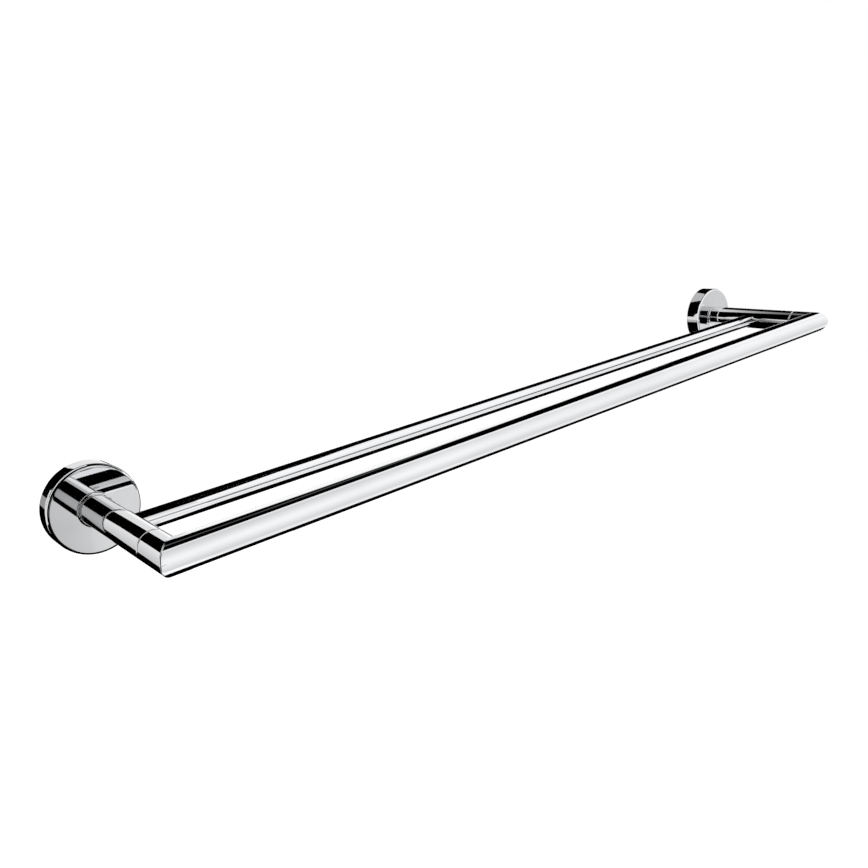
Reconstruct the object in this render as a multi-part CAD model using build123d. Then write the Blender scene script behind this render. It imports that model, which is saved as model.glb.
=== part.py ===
"""Wall-mounted double towel rail in polished, chrome-plated brass tube.

A thick front rail is mitred at both ends to short corner stubs.  Two round arms carry the
stubs, and a thinner rear rail is trapped between the arms.  Each arm stands on a cup-shaped
rosette that slips over a wall plate and is locked by a set screw in the underside of its rim.

Frame: +X runs along the rails, +Y points into the wall and +Z is up.  The origin lies on the
wall plane, midway between the two rosettes and level with the tube axes.  Millimetres.
Distances called a reach are measured from the wall plane, straight out into the room.
"""
import os
from build123d import *

# Layout
rosette_centres = 610.0     # from one arm axis to the other
front_rail_reach = 113.0    # to the axis of the front rail
rear_rail_reach = 55.0      # to the axis of the rear rail
corner_stub_length = 18.5   # from the axis of the front rail back to the seam with the arm

# Tubes
tube_diameter = 18.0        # arms, corner stubs and front rail
tube_wall = 1.5
tube_end_chamfer = 0.4      # broken edge at each square-cut tube end
rear_rail_diameter = 11.0
rear_rail_wall = 1.0

# Rosette: a turned cup, open towards the wall
rosette_diameter = 52.5
rosette_depth = 12.8
rosette_rim_wall = 3.0
rosette_face_wall = 2.6
rosette_edge_round = 1.7    # between the rim and the face
rosette_crown = 0.12        # how far the face falls away as it nears the edge
rosette_crown_width = 9.0

# Wall plate: a disc with a locking ring, inside the rosette
plate_thickness = 3.0
plate_bore_diameter = 14.0
locking_ring_height = 8.5   # from the wall plane
locking_ring_wall = 2.5
wall_screw_pitch = 30.0     # one hole above the other
wall_screw_hole_diameter = 5.2
wall_screw_head_diameter = 9.2
wall_screw_sink = 1.5       # depth of the countersink

# Set screw in the underside of the rim, with its groove round the locking ring
set_screw_reach = 6.0
set_screw_diameter = 4.0
set_screw_recess = 0.4
set_screw_point_diameter = 1.6
set_screw_key = 2.0
set_screw_key_depth = 1.8
set_screw_groove_depth = 1.2

# Foot: closes the lower end of the arm and centres it on the rosette
foot_collar_diameter = 20.6
foot_collar_height = 1.2
foot_collar_chamfer = 0.8
foot_spigot_diameter = 10.0
foot_plug_length = 14.0

# Screw and washer that clamp the foot from inside the rosette
foot_screw_diameter = 6.0
foot_screw_length = 14.0
foot_screw_head_diameter = 10.0
foot_screw_head_height = 3.5
foot_screw_key = 4.0
foot_screw_key_depth = 2.2
foot_washer_diameter = 16.0
foot_washer_thickness = 1.2

# Connector sleeve across the seam at the corner, and peg that carries the rear rail
connector_arm_grip = 14.0
connector_stub_grip = 7.5
connector_bore_diameter = 8.0
connector_lead_in = 0.6
peg_rail_grip = 14.0        # from the surface of the arm into the rail
peg_arm_grip = 1.0          # past the inner face of the arm's wall
peg_lead_in = 0.6

# Fits: gap between two surfaces, on the radius
slip_gap = 0.05             # plugs, sleeves, pegs and screws in their holes
rosette_gap = 0.15          # rosette over the wall plate
screw_point_gap = 0.1
spigot_end_gap = 0.2        # keeps the spigot short of the rosette's inner face

# Worked out from the sizes above
tube_radius = tube_diameter / 2
tube_bore_radius = tube_radius - tube_wall
rear_rail_radius = rear_rail_diameter / 2
rear_rail_bore_radius = rear_rail_radius - rear_rail_wall
rosette_radius = rosette_diameter / 2
rosette_bore_radius = rosette_radius - rosette_rim_wall
rosette_floor_reach = rosette_depth - rosette_face_wall
plate_radius = rosette_bore_radius - rosette_gap
groove_floor_radius = plate_radius - set_screw_groove_depth
arm_start_reach = rosette_depth + foot_collar_height
corner_seam_reach = front_rail_reach - corner_stub_length
plug_radius = tube_bore_radius - slip_gap
foot_spigot_radius = foot_spigot_diameter / 2
foot_screw_radius = foot_screw_diameter / 2
set_screw_radius = set_screw_diameter / 2
set_screw_point_radius = set_screw_point_diameter / 2
peg_radius = rear_rail_bore_radius - slip_gap
overcut = 1.0               # how far a cutting tool runs past the face it cuts

LEFT, RIGHT = -1, 1


def arm_x(side):
    """X of one arm's axis."""
    return side * rosette_centres / 2


def rod(radius, start, end):
    """Cylinder of the given radius from one point to another."""
    run = Vector(end) - Vector(start)
    return Part() + Solid.make_cylinder(radius, run.length, Plane(origin=start, z_dir=run))


def arm_rod(side, radius, start_reach, end_reach):
    """Cylinder about one arm's axis between two reaches."""
    return rod(radius, (arm_x(side), -start_reach, 0), (arm_x(side), -end_reach, 0))


def turned(side, *outline):
    """Solid turned about one arm's axis; in the outline x is the radius and y the reach."""
    centre = (arm_x(side), 0, 0)
    section = Plane(centre, x_dir=(1, 0, 0), z_dir=(0, 0, -1)) * make_face(Curve() + outline)
    return revolve(section, Axis(centre, (0, -1, 0)))


def turned_points(side, *points):
    """Solid turned about one arm's axis from the corners of its outline."""
    return turned(side, Polyline(*points, close=True))


def key_socket(start, direction, across_flats, depth):
    """Hexagonal key socket, sunk into a screw head from a point on its face."""
    hexagon = RegularPolygon(across_flats / 2, 6, major_radius=False)
    return extrude(Plane(origin=start, z_dir=direction) * hexagon, depth)


def break_ends(tube):
    """Chamfer the outer edges of a tube's square-cut ends."""
    circles = tube.edges().filter_by(GeomType.CIRCLE)
    return chamfer(circles.group_by(SortBy.RADIUS)[-1], tube_end_chamfer)


def mitre_plane(side):
    """Plane of one corner's 45 degree joint, facing the front rail."""
    return Plane(origin=(arm_x(side), -front_rail_reach, 0), z_dir=(-side, -1, 0))


def rosette(side):
    """Cup with a flat face that rolls off to a rounded edge, open at the back."""
    edge_radius = rosette_radius - rosette_edge_round
    edge_reach = rosette_depth - rosette_crown
    shoulder_reach = edge_reach - rosette_edge_round
    flat_radius = edge_radius - rosette_crown_width
    hole_radius = foot_spigot_radius + slip_gap
    edge = CenterArc((edge_radius, shoulder_reach), rosette_edge_round, 0, 90)
    crown = TangentArc((flat_radius, rosette_depth), (edge_radius, edge_reach), tangent=(1, 0))
    inside = Polyline(
        (flat_radius, rosette_depth),
        (hole_radius, rosette_depth),
        (hole_radius, rosette_floor_reach),
        (rosette_bore_radius, rosette_floor_reach),
        (rosette_bore_radius, 0),
        (rosette_radius, 0),
        (rosette_radius, shoulder_reach))
    cup = turned(side, edge, crown, inside)
    thread = rod(
        set_screw_radius + slip_gap,
        (arm_x(side), -set_screw_reach, -rosette_radius - overcut),
        (arm_x(side), -set_screw_reach, -rosette_bore_radius + overcut))
    return cup - thread


def wall_plate(side):
    """Disc with a grooved locking ring and two countersunk holes, one above the other."""
    ring_bore_radius = plate_radius - locking_ring_wall
    groove_floor = set_screw_point_radius + screw_point_gap
    groove_mouth = groove_floor + set_screw_groove_depth
    plate = turned_points(
        side,
        (plate_bore_diameter / 2, 0),
        (plate_radius, 0),
        (plate_radius, set_screw_reach - groove_mouth),
        (groove_floor_radius, set_screw_reach - groove_floor),
        (groove_floor_radius, set_screw_reach + groove_floor),
        (plate_radius, set_screw_reach + groove_mouth),
        (plate_radius, locking_ring_height),
        (ring_bore_radius, locking_ring_height),
        (ring_bore_radius, plate_thickness),
        (plate_bore_diameter / 2, plate_thickness))
    hole_radius = wall_screw_hole_diameter / 2
    sink_profile = Polyline(
        (0, plate_thickness - wall_screw_sink),
        (hole_radius, plate_thickness - wall_screw_sink),
        (wall_screw_head_diameter / 2, plate_thickness),
        (0, plate_thickness),
        close=True)
    for height in (-wall_screw_pitch / 2, wall_screw_pitch / 2):
        start = (arm_x(side), overcut, height)
        end = (arm_x(side), -plate_thickness - overcut, height)
        sink = Pos(0, 0, height) * turned(side, sink_profile)
        plate = plate - rod(hole_radius, start, end) - sink
    return plate


def rosette_set_screw(side):
    """Headless screw with a conical point, pressed into the locking ring's groove."""
    top = -(rosette_radius - set_screw_recess)
    point = -(groove_floor_radius + screw_point_gap)
    cone_length = set_screw_radius - set_screw_point_radius
    centre = (arm_x(side), -set_screw_reach)
    body = rod(set_screw_radius, (*centre, top), (*centre, point - cone_length))
    cone = Solid.make_cone(
        set_screw_radius, set_screw_point_radius, cone_length,
        Plane(origin=(*centre, point - cone_length), z_dir=(0, 0, 1)))
    return body + cone - key_socket((*centre, top), (0, 0, 1), set_screw_key, set_screw_key_depth)


def arm_foot(side):
    """Turned plug: spigot in the rosette, collar on its face and plug in the arm."""
    collar_radius = foot_collar_diameter / 2
    spigot_end = rosette_floor_reach + spigot_end_gap
    return turned_points(
        side,
        (foot_spigot_radius, rosette_depth),
        (collar_radius, rosette_depth),
        (collar_radius, arm_start_reach - foot_collar_chamfer),
        (collar_radius - foot_collar_chamfer, arm_start_reach),
        (plug_radius, arm_start_reach),
        (plug_radius, arm_start_reach + foot_plug_length),
        (foot_screw_radius + slip_gap, arm_start_reach + foot_plug_length),
        (foot_screw_radius + slip_gap, spigot_end),
        (foot_spigot_radius, spigot_end))


def foot_washer(side):
    """Plain washer under the foot screw's head, on the floor of the rosette."""
    near = rosette_floor_reach - foot_washer_thickness
    ring = arm_rod(side, foot_washer_diameter / 2, near, rosette_floor_reach)
    hole = arm_rod(side, foot_screw_radius + slip_gap, near - overcut, rosette_floor_reach + overcut)
    return ring - hole


def foot_screw(side):
    """Low-headed screw that pulls the foot against the rosette."""
    head_top = rosette_floor_reach - foot_washer_thickness
    head_back = head_top - foot_screw_head_height
    head = arm_rod(side, foot_screw_head_diameter / 2, head_back, head_top)
    shank = arm_rod(side, foot_screw_radius, head_top, head_top + foot_screw_length)
    socket = key_socket((arm_x(side), -head_back, 0), (0, -1, 0), foot_screw_key, foot_screw_key_depth)
    return head + shank - socket


def arm_tube(side):
    """Straight tube from the foot's collar to the seam, drilled for the rear rail's peg."""
    outside = arm_rod(side, tube_radius, arm_start_reach, corner_seam_reach)
    bore = arm_rod(side, tube_bore_radius, arm_start_reach - overcut, corner_seam_reach + overcut)
    tube = break_ends(outside - bore)
    peg_hole = rod(
        peg_radius + slip_gap,
        (arm_x(side), -rear_rail_reach, 0),
        (arm_x(side) - side * (tube_radius + overcut), -rear_rail_reach, 0))
    return tube - peg_hole


def rail_peg(side):
    """Round peg through the arm's inner wall, which the end of the rear rail slides over."""
    inner_end = arm_x(side) - side * (tube_bore_radius - peg_arm_grip)
    rail_end = arm_x(side) - side * (tube_radius + peg_rail_grip)
    peg = rod(peg_radius, (inner_end, -rear_rail_reach, 0), (rail_end, -rear_rail_reach, 0))
    nose = peg.edges().filter_by(GeomType.CIRCLE).sort_by(lambda edge: abs(edge.arc_center.X))[0]
    return chamfer(nose, peg_lead_in)


def corner_connector(side):
    """Sleeve pressed into the arm and the corner stub, so that they meet in line."""
    start = corner_seam_reach - connector_arm_grip
    end = corner_seam_reach + connector_stub_grip
    bore = connector_bore_diameter / 2
    return turned_points(
        side,
        (bore, start),
        (plug_radius - connector_lead_in, start),
        (plug_radius, start + connector_lead_in),
        (plug_radius, end - connector_lead_in),
        (plug_radius - connector_lead_in, end),
        (bore, end))


def corner_stub(side):
    """Short tube from the seam to the corner, mitred to the front rail."""
    past_corner = front_rail_reach + tube_diameter
    outside = arm_rod(side, tube_radius, corner_seam_reach, past_corner)
    bore = arm_rod(side, tube_bore_radius, corner_seam_reach - overcut, past_corner + overcut)
    tube = break_ends(outside - bore)
    return split(tube, bisect_by=mitre_plane(side), keep=Keep.BOTTOM)


def front_rail():
    """Long tube, mitred at both ends."""
    end = arm_x(RIGHT) + tube_diameter
    outside = rod(tube_radius, (-end, -front_rail_reach, 0), (end, -front_rail_reach, 0))
    bore = rod(
        tube_bore_radius,
        (-end - overcut, -front_rail_reach, 0),
        (end + overcut, -front_rail_reach, 0))
    rail = outside - bore
    for side in (LEFT, RIGHT):
        rail = split(rail, bisect_by=mitre_plane(side), keep=Keep.TOP)
    return rail


def rear_rail():
    """Thin tube between the arms, with both ends hollowed out to sit on them."""
    ends = [(arm_x(side), -rear_rail_reach, 0) for side in (LEFT, RIGHT)]
    rail = rod(rear_rail_radius, *ends) - rod(rear_rail_bore_radius, *ends)
    for side in (LEFT, RIGHT):
        rail = rail - arm_rod(side, tube_radius, 0, front_rail_reach)
    return rail


def save(name, shape):
    """Write one sub-part to its own STEP file."""
    export_step(shape, "parts/" + name + ".step")


os.makedirs("parts", exist_ok=True)

for side_name, side in (("left", LEFT), ("right", RIGHT)):
    save(side_name + "_wall_plate", wall_plate(side))
    save(side_name + "_rosette", rosette(side))
    save(side_name + "_rosette_set_screw", rosette_set_screw(side))
    save(side_name + "_arm_foot", arm_foot(side))
    save(side_name + "_foot_washer", foot_washer(side))
    save(side_name + "_foot_screw", foot_screw(side))
    save(side_name + "_arm_tube", arm_tube(side))
    save(side_name + "_rail_peg", rail_peg(side))
    save(side_name + "_corner_connector", corner_connector(side))
    save(side_name + "_corner_stub", corner_stub(side))

save("front_rail", front_rail())
save("rear_rail", rear_rail())
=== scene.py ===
from math import cos, pi, radians, sin, sqrt, tan

import bmesh
import bpy
from mathutils import Matrix, Vector


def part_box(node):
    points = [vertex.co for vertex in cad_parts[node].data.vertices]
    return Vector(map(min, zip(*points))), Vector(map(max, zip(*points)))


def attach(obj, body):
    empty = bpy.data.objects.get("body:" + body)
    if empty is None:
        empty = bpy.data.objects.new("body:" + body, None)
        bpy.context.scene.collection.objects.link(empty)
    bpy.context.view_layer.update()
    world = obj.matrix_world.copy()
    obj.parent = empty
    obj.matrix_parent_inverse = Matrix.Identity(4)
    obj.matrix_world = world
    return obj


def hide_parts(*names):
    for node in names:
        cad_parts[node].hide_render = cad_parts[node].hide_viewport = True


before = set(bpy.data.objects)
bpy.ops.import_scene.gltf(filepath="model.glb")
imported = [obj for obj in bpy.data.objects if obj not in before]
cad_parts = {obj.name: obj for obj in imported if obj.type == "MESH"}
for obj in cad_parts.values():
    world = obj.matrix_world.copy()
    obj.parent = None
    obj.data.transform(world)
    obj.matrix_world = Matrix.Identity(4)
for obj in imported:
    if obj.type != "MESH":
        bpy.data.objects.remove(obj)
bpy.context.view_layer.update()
mm = 0.001
sides = {"left": -1, "right": 1}
print("frame loaded:", len(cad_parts), "nodes")


# places and sizes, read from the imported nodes
def span(node, axis):
    low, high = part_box(node)
    return low[axis], high[axis]


def middle(node, axis):
    low, high = span(node, axis)
    return (low + high) / 2


def halfWidth(node, axis):
    low, high = span(node, axis)
    return (high - low) / 2


# a reach is a distance from the wall, along -y
armX = middle("right_rosette", 0)
rosetteRadius = halfWidth("right_rosette", 2)
rosetteFace = -span("right_rosette", 1)[0]
tubeRadius = halfWidth("right_arm_tube", 2)
armStart = -span("right_arm_tube", 1)[1]
seamReach = -span("right_arm_tube", 1)[0]
collarRadius = halfWidth("right_arm_foot", 2)
footBack = -span("right_arm_foot", 1)[1]
footTip = -span("right_arm_foot", 1)[0]
frontRailReach = -middle("front_rail", 1)
rearRailReach = -middle("rear_rail", 1)
rearRailRadius = halfWidth("rear_rail", 2)
plateRadius = halfWidth("right_wall_plate", 2)
plateHeight = -span("right_wall_plate", 1)[0]


# mesh helpers
hold = 0.12 * mm  # short straight run kept beside a rounding, so the shading stays flat there
sharpAngle = radians(38)  # edges that turn further than this stay sharp


def onArm(side, radius, reach, turn, height=0):
    # a point at a turn round the arm's axis, or round an axis above or below it
    return Vector((side * armX + radius * cos(turn), -reach, height + radius * sin(turn)))


def turns(count):
    return [2 * pi * i / count for i in range(count)]


def softOutline(corners, steps=6):
    # corners are (radius, reach, roundness); each rounded one becomes an arc held by a point on either side
    points = []
    for i, (radius, reach, roundness) in enumerate(corners):
        here = Vector((radius, reach))
        if not roundness:
            points.append(here)
            continue
        toLast = (Vector(corners[i - 1][:2]) - here).normalized()
        toNext = (Vector(corners[(i + 1) % len(corners)][:2]) - here).normalized()
        half = toLast.angle(toNext) / 2
        run = roundness / tan(half)
        centre = here + (toLast + toNext).normalized() * roundness / sin(half)
        start = here + toLast * run - centre
        sweep = start.angle_signed(here + toNext * run - centre)
        points.append(here + toLast * (run + hold))
        points += [centre + Matrix.Rotation(-sweep * k / steps, 2) @ start for k in range(steps + 1)]
        points.append(here + toNext * (run + hold))
    return points


def joinRows(bm, a, b):
    for i in range(len(a)):
        j = (i + 1) % len(a)
        bm.faces.new((a[i], a[j], b[j], b[i]))


def skin(bm, rings):
    # joins each ring to the next and the last to the first, which closes the solid
    rows = [[bm.verts.new(point) for point in ring] for ring in rings]
    for a, b in zip(rows, rows[1:] + rows[:1]):
        joinRows(bm, a, b)


def turned(bm, side, outline, count):
    skin(bm, [[onArm(side, point[0], point[1], turn) for turn in turns(count)] for point in outline])


def finishMesh(bm, name):
    bmesh.ops.recalc_face_normals(bm, faces=bm.faces)
    for face in bm.faces:
        face.smooth = True
    for edge in bm.edges:
        edge.smooth = not (len(edge.link_faces) == 2 and edge.calc_face_angle() > sharpAngle)
    mesh = bpy.data.meshes.new(name)
    bm.to_mesh(mesh)
    bm.free()
    piece = bpy.data.objects.new(name, mesh)
    bpy.context.scene.collection.objects.link(piece)
    return piece


def cutFrom(piece, cutter):
    cut = piece.modifiers.new("cut", "BOOLEAN")
    cut.operation = "DIFFERENCE"
    cut.solver = "EXACT"
    cut.object = cutter
    view = bpy.context.evaluated_depsgraph_get()
    bm = bmesh.new()
    bm.from_mesh(piece.evaluated_get(view).to_mesh())
    name = piece.name
    for old in (piece, cutter):
        bpy.data.objects.remove(old)
    return finishMesh(bm, name)


def place(piece, node, material):
    piece.data.materials.append(material)
    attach(piece, "root")
    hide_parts(node)


# shader node groups
def newGroup(name, inputs, outputs):
    tree = bpy.data.node_groups.new(name, "ShaderNodeTree")
    for label, kind, value in inputs:
        socket = tree.interface.new_socket(name=label, in_out="INPUT", socket_type=kind)
        socket.default_value = value
    for label, kind in outputs:
        tree.interface.new_socket(name=label, in_out="OUTPUT", socket_type=kind)
    return tree, tree.nodes.new("NodeGroupInput"), tree.nodes.new("NodeGroupOutput")


def addNode(tree, kind, **settings):
    node = tree.nodes.new(kind)
    for key, value in settings.items():
        setattr(node, key, value)
    return node


def makeWipeMarks():
    # long soft streaks, as a cloth leaves on plated metal
    tree, given, result = newGroup(
        "wipeMarks",
        [("Scale", "NodeSocketFloat", 60.0), ("Stretch", "NodeSocketVector", (1.0, 1.0, 1.0)),
         ("Clean", "NodeSocketFloat", 0.03), ("Hazy", "NodeSocketFloat", 0.06)],
        [("Roughness", "NodeSocketFloat"), ("Haze", "NodeSocketFloat")])
    link = tree.links.new
    coords = addNode(tree, "ShaderNodeTexCoord")
    stretch = addNode(tree, "ShaderNodeVectorMath", operation="MULTIPLY")
    broad = addNode(tree, "ShaderNodeTexNoise")
    broad.inputs["Detail"].default_value = 3.0
    broad.inputs["Roughness"].default_value = 0.55
    haze = addNode(tree, "ShaderNodeMapRange")
    haze.inputs["From Min"].default_value = 0.42
    haze.inputs["From Max"].default_value = 0.72
    rough = addNode(tree, "ShaderNodeMapRange")
    link(coords.outputs["Object"], stretch.inputs[0])
    link(given.outputs["Stretch"], stretch.inputs[1])
    link(stretch.outputs[0], broad.inputs["Vector"])
    link(given.outputs["Scale"], broad.inputs["Scale"])
    link(broad.outputs["Fac"], haze.inputs["Value"])
    link(haze.outputs["Result"], rough.inputs["Value"])
    link(given.outputs["Clean"], rough.inputs["To Min"])
    link(given.outputs["Hazy"], rough.inputs["To Max"])
    link(rough.outputs["Result"], result.inputs["Roughness"])
    link(haze.outputs["Result"], result.inputs["Haze"])
    return tree


def makeFineGrain():
    # speckle of a cast or blasted face, with broad soft clouds over it
    tree, given, result = newGroup(
        "fineGrain",
        [("Scale", "NodeSocketFloat", 900.0), ("Cloud Scale", "NodeSocketFloat", 70.0),
         ("Light", "NodeSocketColor", (0.8, 0.8, 0.8, 1.0)), ("Dark", "NodeSocketColor", (0.5, 0.5, 0.5, 1.0))],
        [("Color", "NodeSocketColor"), ("Height", "NodeSocketFloat"), ("Cloud", "NodeSocketFloat")])
    link = tree.links.new
    coords = addNode(tree, "ShaderNodeTexCoord")
    grain = addNode(tree, "ShaderNodeTexNoise")
    grain.inputs["Detail"].default_value = 4.0
    cloud = addNode(tree, "ShaderNodeTexNoise")
    cloud.inputs["Detail"].default_value = 2.0
    blend = addNode(tree, "ShaderNodeMath", operation="MULTIPLY_ADD")
    blend.inputs[1].default_value = 0.45
    tint = addNode(tree, "ShaderNodeMix", data_type="RGBA")
    link(coords.outputs["Object"], grain.inputs["Vector"])
    link(coords.outputs["Object"], cloud.inputs["Vector"])
    link(given.outputs["Scale"], grain.inputs["Scale"])
    link(given.outputs["Cloud Scale"], cloud.inputs["Scale"])
    halfCloud = addNode(tree, "ShaderNodeMath", operation="MULTIPLY")
    halfCloud.inputs[1].default_value = 0.55
    link(cloud.outputs["Fac"], halfCloud.inputs[0])
    link(grain.outputs["Fac"], blend.inputs[0])
    link(halfCloud.outputs[0], blend.inputs[2])
    link(blend.outputs[0], tint.inputs["Factor"])
    link(given.outputs["Dark"], tint.inputs["A"])
    link(given.outputs["Light"], tint.inputs["B"])
    link(tint.outputs["Result"], result.inputs["Color"])
    link(grain.outputs["Fac"], result.inputs["Height"])
    link(cloud.outputs["Fac"], result.inputs["Cloud"])
    return tree


wipeMarks = makeWipeMarks()
fineGrain = makeFineGrain()


def newMaterial(name):
    material = bpy.data.materials.new(name)
    material.use_nodes = True
    tree = material.node_tree
    return material, tree, tree.nodes["Principled BSDF"], tree.links.new


def useGroup(tree, group, **values):
    node = addNode(tree, "ShaderNodeGroup", node_tree=group)
    for label, value in values.items():
        node.inputs[label.replace("_", " ")].default_value = value
    return node


chrome = {"clean": (0.72, 0.725, 0.735, 1), "hazed": (0.66, 0.665, 0.675, 1), "bump": 0.05, "ripple": 0.004 * mm}


def makeChrome(name, scale, stretch, cleanRough, hazyRough):
    material, tree, shader, link = newMaterial(name)
    marks = useGroup(tree, wipeMarks, Scale=scale, Stretch=stretch, Clean=cleanRough, Hazy=hazyRough)
    tint = addNode(tree, "ShaderNodeMix", data_type="RGBA")
    tint.inputs["A"].default_value = chrome["clean"]
    tint.inputs["B"].default_value = chrome["hazed"]
    bump = addNode(tree, "ShaderNodeBump")
    bump.inputs["Strength"].default_value = chrome["bump"]
    bump.inputs["Distance"].default_value = chrome["ripple"]
    shader.inputs["Metallic"].default_value = 1.0
    link(marks.outputs["Haze"], tint.inputs["Factor"])
    link(tint.outputs["Result"], shader.inputs["Base Color"])
    link(marks.outputs["Roughness"], shader.inputs["Roughness"])
    link(marks.outputs["Haze"], bump.inputs["Height"])
    link(bump.outputs["Normal"], shader.inputs["Normal"])
    return material


railChrome = makeChrome("railChrome", 34.0, (0.25, 1.0, 1.0), 0.022, 0.040)
armChrome = makeChrome("armChrome", 40.0, (1.0, 0.3, 1.0), 0.022, 0.042)
rosetteChrome = makeChrome("rosetteChrome", 46.0, (1.0, 1.0, 1.0), 0.020, 0.045)


# metals that the eye only meets behind or inside: tints, scales, range of roughness, height of the grain
grainy = {
    "castZinc": {"light": (0.72, 0.73, 0.74, 1), "dark": (0.42, 0.43, 0.45, 1), "scale": 1400.0, "cloudScale": 120.0,
                 "rough": (0.28, 0.52), "relief": 0.08 * mm},
    "screwSteel": {"light": (0.62, 0.62, 0.61, 1), "dark": (0.38, 0.38, 0.38, 1), "scale": 2200.0, "cloudScale": 300.0,
                   "rough": (0.18, 0.34), "relief": 0.02 * mm},
    "turnedBrass": {"light": (0.78, 0.6, 0.3, 1), "dark": (0.58, 0.42, 0.2, 1), "scale": 1800.0, "cloudScale": 160.0,
                    "rough": (0.2, 0.4), "relief": 0.02 * mm}}
grainBump = 0.35


def makeGrainy(name):
    look = grainy[name]
    material, tree, shader, link = newMaterial(name)
    grain = useGroup(
        tree, fineGrain, Scale=look["scale"], Cloud_Scale=look["cloudScale"], Light=look["light"], Dark=look["dark"])
    rough = addNode(tree, "ShaderNodeMapRange")
    rough.inputs["To Min"].default_value, rough.inputs["To Max"].default_value = look["rough"]
    bump = addNode(tree, "ShaderNodeBump")
    bump.inputs["Strength"].default_value = grainBump
    bump.inputs["Distance"].default_value = look["relief"]
    shader.inputs["Metallic"].default_value = 1.0
    link(grain.outputs["Color"], shader.inputs["Base Color"])
    link(grain.outputs["Cloud"], rough.inputs["Value"])
    link(rough.outputs["Result"], shader.inputs["Roughness"])
    link(grain.outputs["Height"], bump.inputs["Height"])
    link(bump.outputs["Normal"], shader.inputs["Normal"])
    return material


castZinc = makeGrainy("castZinc")
screwSteel = makeGrainy("screwSteel")
turnedBrass = makeGrainy("turnedBrass")
print("materials made:", len(bpy.data.materials))


# rosettes: cups with a faintly crowned face
rosette = {"edgeIn": 1.7 * mm, "edgeBack": 1.7 * mm, "edgeSteps": 14, "crown": 0.02 * mm, "crownWidth": 9 * mm,
           "crownSteps": 13, "flatShare": 0.75, "rim": 3 * mm, "faceWall": 2.6 * mm, "hole": 5.05 * mm,
           "backEdge": 0.35 * mm, "segments": 288}
screwHole = {"play": 0.05 * mm, "depth": 6 * mm, "inside": 1 * mm, "segments": 48}  # for the set screw, in the rim


def rosetteOutline():
    edgeRadius = rosetteRadius - rosette["edgeIn"]
    flatRadius = edgeRadius - rosette["crownWidth"]
    edgeReach = rosetteFace - rosette["crown"]
    innerRadius = rosetteRadius - rosette["rim"]
    floor = rosetteFace - rosette["faceWall"]
    points = [Vector((rosette["hole"], rosetteFace)), Vector((flatRadius * rosette["flatShare"], rosetteFace))]
    for k in range(rosette["crownSteps"]):
        share = k / rosette["crownSteps"]
        points.append(Vector((flatRadius + rosette["crownWidth"] * share, rosetteFace - rosette["crown"] * share ** 2)))
    for k in range(rosette["edgeSteps"] + 1):
        turn = pi / 2 * k / rosette["edgeSteps"]
        points.append(Vector((
            edgeRadius + rosette["edgeIn"] * sin(turn),
            edgeReach - rosette["edgeBack"] * (1 - cos(turn)))))
    back = softOutline([
        (rosetteRadius, edgeReach - rosette["edgeBack"], 0), (rosetteRadius, 0, rosette["backEdge"]),
        (innerRadius, 0, rosette["backEdge"]), (innerRadius, floor, 0), (rosette["hole"], floor, 0)], steps=4)
    return points + back[1:]


def makeRosette(label, side):
    bm = bmesh.new()
    turned(bm, side, rosetteOutline(), rosette["segments"])
    piece = finishMesh(bm, label + "Rosette")
    screw = label + "_rosette_set_screw"
    holeRadius = halfWidth(screw, 0) + screwHole["play"]
    bm = bmesh.new()
    bmesh.ops.create_cone(
        bm, cap_ends=True, segments=screwHole["segments"], radius1=holeRadius, radius2=holeRadius,
        depth=screwHole["depth"],
        matrix=Matrix.Translation((side * armX, middle(screw, 1), -rosetteRadius + screwHole["inside"])))
    piece = cutFrom(piece, finishMesh(bm, "threadCutter"))
    place(piece, label + "_rosette", rosetteChrome)


# feet: a low collar between the rosette and the arm
foot = {"edge": 1.1 * mm, "spigot": 5 * mm, "plug": 7.45 * mm, "bore": 3.05 * mm, "segments": 160}


def makeFoot(label, side):
    outline = softOutline([
        (foot["bore"], footTip, 0), (foot["plug"], footTip, 0), (foot["plug"], armStart, 0),
        (collarRadius, armStart, foot["edge"]), (collarRadius, rosetteFace, 0), (foot["spigot"], rosetteFace, 0),
        (foot["spigot"], footBack, 0), (foot["bore"], footBack, 0)])
    bm = bmesh.new()
    turned(bm, side, outline, foot["segments"])
    place(finishMesh(bm, label + "ArmFoot"), label + "_arm_foot", armChrome)


# tubes
tube = {"wall": 1.5 * mm, "endRound": 0.8 * mm, "footRound": 0.3 * mm, "mitreBreak": 0.5 * mm, "segments": 160}
rearTube = {"wall": 1.0 * mm, "endBreak": 0.15 * mm, "segments": 128}


def makeArm(label, side):
    bore = tubeRadius - tube["wall"]
    outline = softOutline([
        (bore, armStart, 0), (tubeRadius, armStart, tube["footRound"]), (tubeRadius, seamReach, tube["endRound"]),
        (bore, seamReach, 0)])
    bm = bmesh.new()
    turned(bm, side, outline, tube["segments"])
    place(finishMesh(bm, label + "ArmTube"), label + "_arm_tube", armChrome)


def mitreSteps():
    # radius and distance back from the mitre plane, from the outer skin to the bore
    small = tube["mitreBreak"]
    steps = [(tubeRadius, small + hold), (tubeRadius, small)]
    steps += [(tubeRadius - small * (1 - cos(t)), small * (1 - sin(t))) for t in (pi / 6, pi / 3)]
    return steps + [(tubeRadius - small, 0), (tubeRadius - tube["wall"], 0)]


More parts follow.
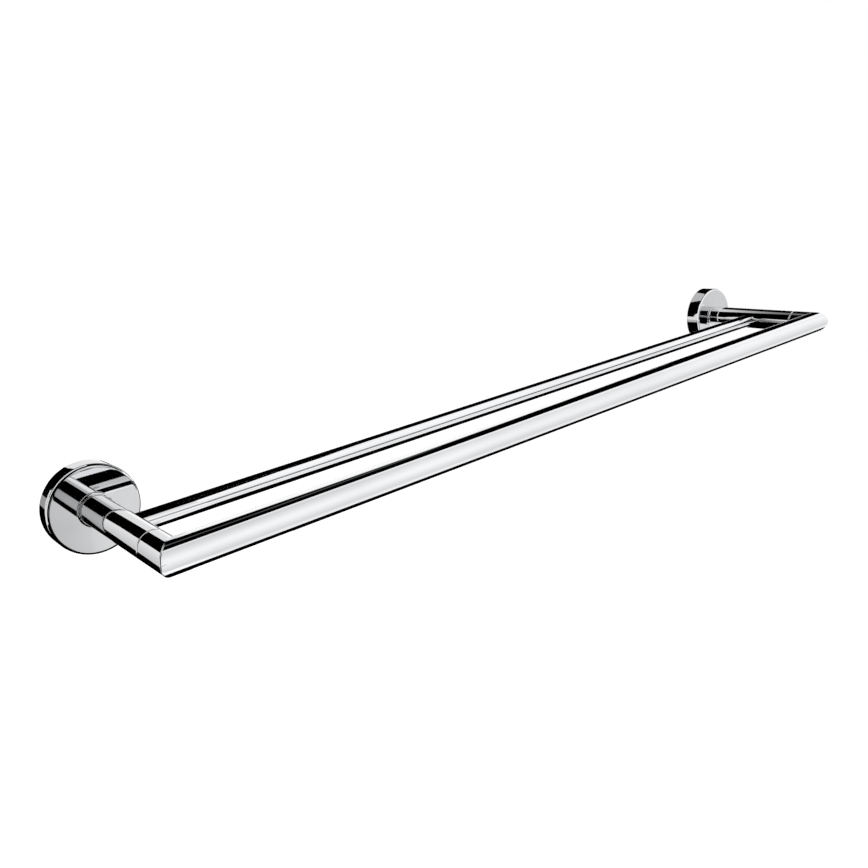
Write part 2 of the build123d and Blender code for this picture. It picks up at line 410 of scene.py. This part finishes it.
def makeStub(label, side):
    bore = tubeRadius - tube["wall"]
    start = softOutline([
        (bore, seamReach, 0), (tubeRadius, seamReach, tube["endRound"]), (tubeRadius, frontRailReach, 0)])[:-1]
    rings = [[onArm(side, p[0], p[1], turn) for turn in turns(tube["segments"])] for p in start]
    for radius, back in mitreSteps():
        ring = []
        for turn in turns(tube["segments"]):
            point = onArm(side, radius, 0, turn)
            point.y = -frontRailReach - side * (point.x - side * armX) + back
            ring.append(point)
        rings.append(ring)
    bm = bmesh.new()
    skin(bm, rings)
    place(finishMesh(bm, label + "CornerStub"), label + "_corner_stub", armChrome)


def makeRail(name, node, reach, steps, segments, endX):
    # steps are (radius, distance back from the end); endX gives the place of the end at each y and z
    rings = []
    for side, run in ((-1, steps[::-1]), (1, steps)):
        for radius, back in run:
            ring = []
            for turn in turns(segments):
                y, z = -reach + radius * cos(turn), radius * sin(turn)
                ring.append(Vector((side * (endX(y, z) - back), y, z)))
            rings.append(ring)
    bm = bmesh.new()
    skin(bm, rings)
    place(finishMesh(bm, name), node, railChrome)


def mitreX(y, z):
    return armX - (y + frontRailReach)


def copeX(y, z):
    # the rear rail's end follows the round of the arm
    return armX - sqrt(tubeRadius ** 2 - z ** 2)


def rearEndSteps():
    small = rearTube["endBreak"]
    return [(rearRailRadius, small + hold), (rearRailRadius, small), (rearRailRadius - small, 0),
            (rearRailRadius - rearTube["wall"], 0)]


# wall plates, seen only from behind
plate = {"thickness": 3 * mm, "bore": 7 * mm, "ringWall": 2.5 * mm, "edge": 0.3 * mm, "screwPitch": 30 * mm,
         "screwHole": 2.6 * mm, "screwHead": 4.6 * mm, "sink": 1.5 * mm, "groove": 1.2 * mm, "grooveReach": 6 * mm,
         "grooveFloor": 0.9 * mm, "segments": 192, "holeSegments": 64}


def makeWallPlate(label, side):
    ringBore = plateRadius - plate["ringWall"]
    deep = plateRadius - plate["groove"]
    low = plate["grooveReach"] - plate["grooveFloor"]
    high = plate["grooveReach"] + plate["grooveFloor"]
    outline = softOutline([
        (plate["bore"], 0, plate["edge"]), (plateRadius, 0, plate["edge"]),
        (plateRadius, low - plate["groove"], 0), (deep, low, 0), (deep, high, 0),
        (plateRadius, high + plate["groove"], 0), (plateRadius, plateHeight, plate["edge"]),
        (ringBore, plateHeight, plate["edge"]), (ringBore, plate["thickness"], 0),
        (plate["bore"], plate["thickness"], plate["edge"])], steps=3)
    bm = bmesh.new()
    rows = [[bm.verts.new(onArm(side, radius, reach, turn)) for turn in turns(plate["segments"])]
            for radius, reach in outline]
    flats = []
    for i, row in enumerate(rows):
        after = (i + 1) % len(rows)
        if abs(outline[i][0] - outline[after][0]) < plate["screwHead"]:
            joinRows(bm, row, rows[after])
        else:  # the two wide flats are filled last, round the screw holes
            flats.append([row, rows[after]])
    # two countersunk screw holes, from the wall side to the floor of the plate
    wallFlat, floorFlat = flats
    top = plate["thickness"]
    profile = ((plate["screwHole"], 0), (plate["screwHole"], top - plate["sink"]), (plate["screwHead"], top))
    for height in (-plate["screwPitch"] / 2, plate["screwPitch"] / 2):
        start, sink, mouth = [
            [bm.verts.new(onArm(side, radius, reach, turn, height)) for turn in turns(plate["holeSegments"])]
            for radius, reach in profile]
        joinRows(bm, start, sink)
        joinRows(bm, sink, mouth)
        wallFlat.append(start)
        floorFlat.append(mouth)
    for loops in flats:
        edges = [bm.edges.get((loop[i - 1], loop[i])) for loop in loops for i in range(len(loop))]
        bmesh.ops.triangle_fill(bm, use_beauty=True, edges=edges, normal=(0, 1, 0))
    place(finishMesh(bm, label + "WallPlate"), label + "_wall_plate", castZinc)


for label, side in sides.items():
    makeRosette(label, side)
    makeFoot(label, side)
    makeArm(label, side)
    makeStub(label, side)
    makeWallPlate(label, side)
makeRail("frontRail", "front_rail", frontRailReach, mitreSteps(), tube["segments"], mitreX)
makeRail("rearRail", "rear_rail", rearRailReach, rearEndSteps(), rearTube["segments"], copeX)

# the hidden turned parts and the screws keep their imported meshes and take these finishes
keptNodes = {"corner_connector": turnedBrass, "rail_peg": turnedBrass, "foot_washer": screwSteel,
             "foot_screw": screwSteel, "rosette_set_screw": screwSteel}
for label in sides:
    for kind, material in keptNodes.items():
        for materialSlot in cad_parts[label + "_" + kind].material_slots:
            materialSlot.material = material
print("packed nodes dressed:", len(sides) * len(keptNodes))


# camera
camera = {"at": (-0.4415, -0.49116, 0.16099), "yaw": 38.663, "pitch": -16.673, "roll": -5.890, "lens": 36.08,
          "sensor": 36, "near": 0.01, "far": 60}
lensData = bpy.data.cameras.new("viewCamera")
lensData.lens = camera["lens"]
lensData.sensor_width = camera["sensor"]
lensData.clip_start = camera["near"]
lensData.clip_end = camera["far"]
viewCamera = bpy.data.objects.new("viewCamera", lensData)
bpy.context.scene.collection.objects.link(viewCamera)
viewCamera.matrix_world = (
    Matrix.Translation(camera["at"])
    @ Matrix.Rotation(-radians(camera["yaw"]), 4, "Z")
    @ Matrix.Rotation(pi / 2 + radians(camera["pitch"]), 4, "X")
    @ Matrix.Rotation(radians(camera["roll"]), 4, "Z"))
bpy.context.scene.camera = viewCamera


# white room
room = {"floorDrop": 1.1, "floorSize": 9.0, "floorTiles": 12, "floorColor": (0.9, 0.9, 0.9, 1), "floorRough": 0.9,
        "floorGlow": 0.45, "daylight": 0.7}


def seenDirectly(tree):
    # 1 for what the camera, the metal or glass sees, 0 for light falling on a surface
    path = addNode(tree, "ShaderNodeLightPath")
    first = addNode(tree, "ShaderNodeMath", operation="ADD")
    both = addNode(tree, "ShaderNodeMath", operation="ADD", use_clamp=True)
    tree.links.new(path.outputs["Is Camera Ray"], first.inputs[0])
    tree.links.new(path.outputs["Is Glossy Ray"], first.inputs[1])
    tree.links.new(first.outputs[0], both.inputs[0])
    tree.links.new(path.outputs["Is Transmission Ray"], both.inputs[1])
    return both.outputs[0]


world = bpy.data.worlds.new("whiteRoom")
bpy.context.scene.world = world
world.use_nodes = True
sky = world.node_tree.nodes["Background"]
sky.inputs["Color"].default_value = (1, 1, 1, 1)
level = addNode(world.node_tree, "ShaderNodeMapRange")
level.inputs["To Min"].default_value = room["daylight"]
level.inputs["To Max"].default_value = 1.0
world.node_tree.links.new(seenDirectly(world.node_tree), level.inputs["Value"])
world.node_tree.links.new(level.outputs["Result"], sky.inputs["Strength"])


def makeFloor():
    bm = bmesh.new()
    bmesh.ops.create_grid(
        bm, x_segments=room["floorTiles"], y_segments=room["floorTiles"], size=room["floorSize"] / 2)
    floor = finishMesh(bm, "floor")
    floor.location.z = -room["floorDrop"]
    material, tree, shader, link = newMaterial("floorPaint")
    shader.inputs["Base Color"].default_value = room["floorColor"]
    shader.inputs["Roughness"].default_value = room["floorRough"]
    shader.inputs["Emission Color"].default_value = (1, 1, 1, 1)
    lift = addNode(tree, "ShaderNodeMath", operation="MULTIPLY")
    lift.inputs[1].default_value = room["floorGlow"]
    link(seenDirectly(tree), lift.inputs[0])
    link(lift.outputs[0], shader.inputs["Emission Strength"])
    floor.data.materials.append(material)


makeFloor()


# studio cards, seen only in the metal
def glowMaterial(name):
    material = bpy.data.materials.new(name)
    material.use_nodes = True
    tree = material.node_tree
    tree.nodes.remove(tree.nodes["Principled BSDF"])
    glow = addNode(tree, "ShaderNodeEmission")
    glow.inputs["Color"].default_value = (1, 1, 1, 1)
    return material, tree, glow, tree.nodes["Material Output"].inputs["Surface"]


def objectPlace(tree):
    coords = addNode(tree, "ShaderNodeTexCoord")
    split = addNode(tree, "ShaderNodeSeparateXYZ")
    tree.links.new(coords.outputs["Object"], split.inputs[0])
    return split.outputs


def ramped(tree, coordinate, stops):
    # a value that changes along one coordinate; stops are (place, value)
    first, last = stops[0][0], stops[-1][0]
    peak = max(value for at, value in stops)
    share = addNode(tree, "ShaderNodeMapRange")
    share.inputs["From Min"].default_value = first
    share.inputs["From Max"].default_value = last
    ramp = addNode(tree, "ShaderNodeValToRGB")
    elements = ramp.color_ramp.elements
    elements.remove(elements[0])
    for k, (at, value) in enumerate(stops):
        element = elements[0] if k == 0 else elements.new((at - first) / (last - first))
        element.position = (at - first) / (last - first)
        element.color = [value / peak] * 3 + [1]
    gain = addNode(tree, "ShaderNodeMath", operation="MULTIPLY")
    gain.inputs[1].default_value = peak
    tree.links.new(coordinate, share.inputs["Value"])
    tree.links.new(share.outputs["Result"], ramp.inputs["Fac"])
    tree.links.new(ramp.outputs["Color"], gain.inputs[0])
    return gain.outputs[0]


def cardMaterial(name, brightness, axis, oneSided):
    material, tree, glow, surface = glowMaterial(name)
    if axis:
        tree.links.new(ramped(tree, objectPlace(tree)[axis], brightness), glow.inputs["Strength"])
    else:
        glow.inputs["Strength"].default_value = brightness
    if oneSided:
        geometry = addNode(tree, "ShaderNodeNewGeometry")
        clear = addNode(tree, "ShaderNodeBsdfTransparent")
        mix = addNode(tree, "ShaderNodeMixShader")
        tree.links.new(geometry.outputs["Backfacing"], mix.inputs[0])
        tree.links.new(glow.outputs[0], mix.inputs[1])
        tree.links.new(clear.outputs[0], mix.inputs[2])
        tree.links.new(mix.outputs[0], surface)
    else:
        tree.links.new(glow.outputs[0], surface)
    return material


def hideCard(card):
    card.visible_camera = False
    card.visible_diffuse = False
    card.visible_shadow = False
    card.visible_transmission = False


def makeCard(name, corners, brightness, axis=None, facing=None):
    # brightness is a number, or stops along the axis; with facing the card is seen only from the side it points to
    bm = bmesh.new()
    face = bm.faces.new([bm.verts.new(corner) for corner in corners])
    face.normal_update()
    if facing and face.normal.dot(Vector(facing)) < 0:
        face.normal_flip()
    mesh = bpy.data.meshes.new(name)
    bm.to_mesh(mesh)
    bm.free()
    card = bpy.data.objects.new(name, mesh)
    bpy.context.scene.collection.objects.link(card)
    mesh.materials.append(cardMaterial(name, brightness, axis, facing is not None))
    hideCard(card)


black = 0.0
toWall, toRoom, downward = (0, 1, 0), (0, -1, 0), (0, 0, -1)
roomSide, wallSide, railGap = -1.02, 1.2, -0.066  # places along y that several cards share
arcSteps = 24


def acrossY(y, points):
    return [(x, y, z) for x, z in points]


def acrossZ(z, points):
    return [(x, y, z) for x, y in points]


def makeArc(name, x, y, inner, outer, start, end, brightness, facing=None):
    # part of a flat ring that faces the room
    angles = [radians(start + (end - start) * k / arcSteps) for k in range(arcSteps + 1)]
    corners = [(x + inner * cos(t), y, inner * sin(t)) for t in angles]
    corners += [(x + outer * cos(t), y, outer * sin(t)) for t in reversed(angles)]
    makeCard(name, corners, brightness, facing=facing)


def makeFlags():
    # above, below and beside, mirrored by both rails and the left arm
    makeCard("overheadFlag", acrossZ(0.6, [
        (-0.12, -0.292), (0.1, -0.2433), (0.4, -0.21), (1.1, -0.06), (1.42, -0.01), (2.6, 0.25), (2.6, 2.0),
        (1.838, 1.372), (0.942, 0.655), (0.56, 0.373), (0.337, 0.277), (0.181, 0.307), (0.036, 0.408),
        (-0.119, 1.226), (-0.25, 1.48), (-0.25, 4.4), (-1.97, 4.4), (-1.02, 1.86), (-1.05, 1.7), (-1.6, 1.5),
        (-1.6, 0.45), (-0.9, 0.3), (-0.12, 0.25)]), black)
    makeCard("overheadRoomFlag", acrossZ(0.61, [(-1.6, -0.99), (-0.13, -0.99), (-0.13, -0.24), (-1.6, -0.24)]), black)
    makeCard("overheadSeam", acrossZ(0.59, [
        (-0.12, -0.03), (0.03, -0.02), (0.166, 0.05), (0.35, 0.15), (0.325, 0.215), (0.146, 0.12), (0, 0.05),
        (-0.12, 0.05)]), 0.1)
    makeCard("sideFlag", [(1.8, 0.3, 0.17), (1.8, 1.25, 0.17), (1.8, 1.25, 1.8), (1.8, 0.3, 1.8)], black)
    makeCard("farSideFlag", [(-1.6, 1.13, 0.1), (-1.6, 1.7, 0.1), (-1.6, 1.7, 0.6), (-1.6, 1.13, 0.6)], black)
    makeCard("floorFlag", acrossZ(-0.15, [
        (-0.75, -0.25), (-0.36, -0.25), (-0.36, -0.146), (-0.22, -0.137), (0.117, -0.13), (2.5, -0.13), (2.5, 3.0),
        (0.88, 3.0), (-0.18, 0.165), (-0.232, 0.165), (0.533, 3.0), (-1.25, 3.0), (-0.475, 0.26), (-0.46, 0.2),
        (-0.75, 0.2)]), black)
    # the room side, mirrored by the left rosette and the arm next to it
    makeCard("roomColumn", acrossY(-1.0, [
        (-0.687, 1.6), (-0.687, 0.34), (-0.72, 0.26), (-0.6, 0.185), (-0.58, 0), (-0.585, -0.2), (-0.66, -0.265),
        (-0.6, -0.39), (-0.6, -1.6), (-0.185, -1.6), (-0.185, -0.3), (-0.155, 0.3), (-0.155, 1.6)]), black)
    makeCard("roomLeftGrey", acrossY(roomSide, [
        (-0.95, 0.5), (-0.62, 0.5), (-0.5, 0.2), (-0.5, -0.2), (-0.55, -0.5), (-0.95, -0.5)]),
             [(-0.95, 0.86), (-0.8, 0.78), (-0.7, 0.64), (-0.6, 0.5)], "X")
    makeCard("roomRightGrey", acrossY(roomSide, [(-0.17, 0.1), (-0.02, 0.1), (-0.02, 0.5), (-0.17, 0.5)]), 0.78)
    makeCard("faceGrey", acrossY(roomSide, [(-0.2, -0.12), (-0.015, -0.12), (-0.015, -0.52), (-0.2, -0.52)]),
             [(-0.11, 0.7), (-0.03, 0.82), (-0.015, 0.85)], "X")
    makeCard("faceRightGrey", acrossY(-0.03, [
        (-0.306, -0.018), (-0.2955, -0.013), (-0.2955, 0.0017), (-0.268, 0.0017), (-0.268, -0.04), (-0.306, -0.04)]),
             [(-0.306, 0.84), (-0.298, 0.93), (-0.268, 0.93)], "X", facing=toWall)
    # the dark line round the edge of the left face
    makeArc("edgeFlag", -armX, -0.024, 0.0312, 0.056, 30, 300, black, facing=toWall)
    makeArc("edgeTopFlag", -armX, -0.0155, 0.0259, 0.0345, 45, 235, black, facing=toWall)
    # the wall side of the left arm and rosette rim
    makeCard("wallLeftGrey", acrossY(wallSide, [
        (-1.05, 0.5), (-0.83, 0.42), (-0.785, 0.2), (-0.76, 0.13), (-0.76, -0.13), (-0.785, -0.2), (-0.72, -0.46),
        (-1.05, -0.5)]), [(-0.35, 0.74), (0.35, 1.04)], "Z")
    makeArc("rimUpperFlag", -armX, 0.6, 0.21, 0.293, 83, 168, black)
    makeArc("rimPatch", -armX, 0.605, 0.21, 0.293, 165, 196, 0.4)
    makeArc("rimLowerFlag", -armX, 0.6, 0.21, 0.293, 193, 309, black)
    makeCard("leftRoomFlag", [(-1.0, -0.3, -1.0), (-1.0, -0.3, 1.0), (-1.0, -2.0, 1.0), (-1.0, -2.0, -1.0)], black)
    makeCard("wallRightGlow", acrossY(wallSide, [(0.25, -0.1), (0.5, -0.1), (0.5, 0.32), (0.25, 0.32)]),
             [(-0.1, 1.0), (0.02, 1.0), (0.08, 1.3), (0.16, 1.24), (0.32, 1.0)], "Z")
    # the right rosette rim
    makeCard("rightRimGrey", acrossZ(0.62, [(-0.1, 0.24), (0.9, 0.24), (0.9, 0.62), (-0.1, 0.62)]), 0.66)
    makeCard("rightRimGlint", [
        (0.22, 0.02, -0.0095), (0.22, 0.05, -0.0095), (0.22, 0.05, -0.022), (0.22, 0.02, -0.022)], 0.6)
    makeArc("edgeGlow", armX, -0.0145, 0.0266, 0.05, 50, 222, 1.3, facing=toWall)
    # light on the sliver of the right rosette below the rear rail
    makeCard("sliverGlow", acrossY(-0.03, [(0.3, -0.0265), (0.38, -0.0265), (0.38, -0.045), (0.3, -0.045)]), 1.35,
             facing=toWall)
    makeCard("sliverRimGlow", acrossZ(-0.03, [(0.287, -0.031), (0.38, -0.031), (0.38, 0.05), (0.287, 0.05)]), 1.35)
    makeCard("rightFaceGrey", acrossY(-0.03, [
        (0.295, 0.0095), (0.3145, 0.0095), (0.3145, -0.006), (0.37, -0.006), (0.37, 0.03), (0.295, 0.03)]), 0.84,
             facing=toWall)
    makeCard("rightFaceUpper", acrossY(-0.035, [
        (0.235, 0.005), (0.286, 0.005), (0.284, 0.02), (0.268, 0.07), (0.235, 0.07)]), black, facing=toWall)
    makeCard("rightFaceLower", acrossY(-0.035, [(0.2, -0.006), (0.29, -0.006), (0.29, -0.06), (0.2, -0.06)]), black,
             facing=toWall)


def makeRailGlows():
    # a line of light along the right arm
    makeCard("armLine", acrossZ(0.017, [(0.2995, -0.105), (0.3044, -0.105), (0.3048, -0.015), (0.295, -0.015)]),
             [(-0.105, 0.16), (-0.07, 0.3), (-0.045, 0.6), (-0.02, 0.9)], "Y", facing=downward)
    # light on the top of the front rail, and a dark strip for the top of the rear rail
    makeCard("frontTopGlow", acrossY(-0.058, [
        (-0.275, 0.006), (-0.275, 0.063), (-0.235, 0.07), (-0.1587, 0.0794), (-0.0867, 0.0769), (-0.0209, 0.066),
        (0.0434, 0.0552), (0.1005, 0.0335), (0.1629, 0.0138), (0.18, 0.006)]), 1.26, facing=toRoom)
    makeCard("rearTopFlag", acrossZ(0.0062, [
        (-0.305, -0.0619), (-0.268, -0.0616), (-0.209, -0.0592), (-0.15, -0.058), (-0.03, -0.058), (0.1, -0.0583),
        (0.25, -0.0586), (0.2985, -0.0603), (0.2985, -0.05), (0.19, -0.05), (0.15, -0.02), (-0.255, -0.02),
        (-0.255, -0.047), (-0.305, -0.047)]), black)
    # light under the back of the front rail, mirrored by the left rosette
    makeCard("railBackGlow", acrossZ(-0.0097, [
        (-0.296, -0.1155), (-0.24, -0.1155), (-0.24, -0.096), (-0.296, -0.096)]), 1.4)
    # light between the rails, seen by the rear one, and the strip that makes its lower dark line
    makeCard("rearUpperGlow", acrossY(railGap, [
        (-0.262, 0.0055), (0.29, 0.0055), (0.29, 0.03), (-0.2, 0.03), (-0.262, 0.012)]), 1.3, facing=toWall)
    makeCard("rearLowerGlow", acrossY(railGap, [
        (-0.285, -0.0055), (0.29, -0.0055), (0.29, -0.0104), (-0.03, -0.0098), (-0.248, -0.0081), (-0.276, -0.012),
        (-0.285, -0.0117)]), 1.28, facing=toWall)
    makeCard("rearLowerFlag", acrossY(railGap, [
        (-0.276, -0.012), (-0.248, -0.0081), (-0.03, -0.0098), (0.29, -0.0104), (0.29, -0.032), (0.1, -0.028),
        (-0.03, -0.022), (-0.262, -0.0135)]), black, facing=toWall)
    makeCard("rearCapGlow", acrossZ(0.03, [
        (-0.17, -0.0655), (0.16, -0.0655), (0.16, -0.0565), (0.1, -0.0555), (-0.06, -0.049), (-0.13, -0.054)]), 1.25)


makeFlags()
makeRailGlows()

# a scrim that narrows to the right, round the axis of the front rail. Each column is its place along x, its radius
# and its first and last angle; left and right are brightness by angle, and blend goes from one to the other along x
scrim = {"columns": [(0.085, 1.305, 92, 262), (0.445, 0.613, 98.5, 263.5), (0.573, 0.366, 88, 264),
                     (0.625, 0.267, 82.5, 264), (0.661, 0.2, 80, 264), (0.68, 0.165, 79, 264)],
         "steps": 60,
         "left": [(92, 1.2), (103, 1.22), (111, 1.07), (119, 0.88), (128, 0.96), (144, 1.08), (160, 1.23), (172, 1.3),
                  (182, 1.3), (192, 1.25), (208, 1.13), (224, 1.01), (232, 0.95), (240, 1.05), (248, 1.2), (262, 1.2)],
         "right": [(72, 1.3), (90, 1.35), (98, 1.34), (106, 1.27), (113, 1.22), (128, 1.3), (138, 1.33), (152, 1.28),
                   (168, 1.21), (184, 1.13), (200, 1.05), (216, 0.97), (228, 0.95), (240, 1.08), (250, 1.2),
                   (262, 1.2)],
         "blend": [(0.19, 0.0), (0.445, 0.33), (0.573, 0.67), (0.652, 1.0)]}


def ringAngle(tree, y, z):
    # the angle of a point round the axis of the front rail, in the degrees that the dictionary uses
    forward = addNode(tree, "ShaderNodeMath", operation="MULTIPLY_ADD")  # distance in front of the rail
    forward.inputs[1].default_value = -1.0
    forward.inputs[2].default_value = -frontRailReach
    down = addNode(tree, "ShaderNodeMath", operation="MULTIPLY")
    down.inputs[1].default_value = -1.0
    angle = addNode(tree, "ShaderNodeMath", operation="ARCTAN2")
    degrees = addNode(tree, "ShaderNodeMath", operation="MULTIPLY_ADD")
    degrees.inputs[1].default_value = 180 / pi
    degrees.inputs[2].default_value = 180.0
    link = tree.links.new
    link(y, forward.inputs[0])
    link(z, down.inputs[0])
    link(down.outputs[0], angle.inputs[0])
    link(forward.outputs[0], angle.inputs[1])
    link(angle.outputs[0], degrees.inputs[0])
    return degrees.outputs[0]


def makeScrim():
    bm = bmesh.new()
    columns = []
    for x, radius, start, end in scrim["columns"]:
        column = []
        for k in range(scrim["steps"] + 1):
            turn = radians(start + (end - start) * k / scrim["steps"])
            column.append(bm.verts.new((x, -frontRailReach + radius * cos(turn), radius * sin(turn))))
        columns.append(column)
    for a, b in zip(columns, columns[1:]):
        for k in range(scrim["steps"]):
            bm.faces.new((a[k], b[k], b[k + 1], a[k + 1]))
    card = finishMesh(bm, "frontScrim")
    material, tree, glow, surface = glowMaterial("frontScrim")
    x, y, z = objectPlace(tree)
    angle = ringAngle(tree, y, z)
    mix = addNode(tree, "ShaderNodeMix", data_type="FLOAT")
    link = tree.links.new
    link(ramped(tree, x, scrim["blend"]), mix.inputs["Factor"])
    link(ramped(tree, angle, scrim["left"]), mix.inputs["A"])
    link(ramped(tree, angle, scrim["right"]), mix.inputs["B"])
    link(mix.outputs["Result"], glow.inputs["Strength"])
    link(glow.outputs[0], surface)
    card.data.materials.append(material)
    hideCard(card)


makeScrim()

# lamps, for the surfaces that don't mirror: place, size and power
lamps = {"key": ((-1.4, -1.6, 1.6), 1.4, 26.0), "fill": ((1.5, -1.2, 0.9), 1.6, 12.0),
         "back": ((0.2, 1.6, 1.2), 1.6, 12.0)}
for name, (at, size, power) in lamps.items():
    light = bpy.data.lights.new(name, "AREA")
    light.size = size
    light.energy = power
    lamp = bpy.data.objects.new(name, light)
    bpy.context.scene.collection.objects.link(lamp)
    lamp.location = at
    lamp.rotation_euler = (-Vector(at)).to_track_quat("-Z", "Y").to_euler()
    lamp.visible_glossy = False
    lamp.visible_camera = False
print("studio made")

bpy.context.scene.view_settings.view_transform = "Standard"

bpy.context.view_layer.update()
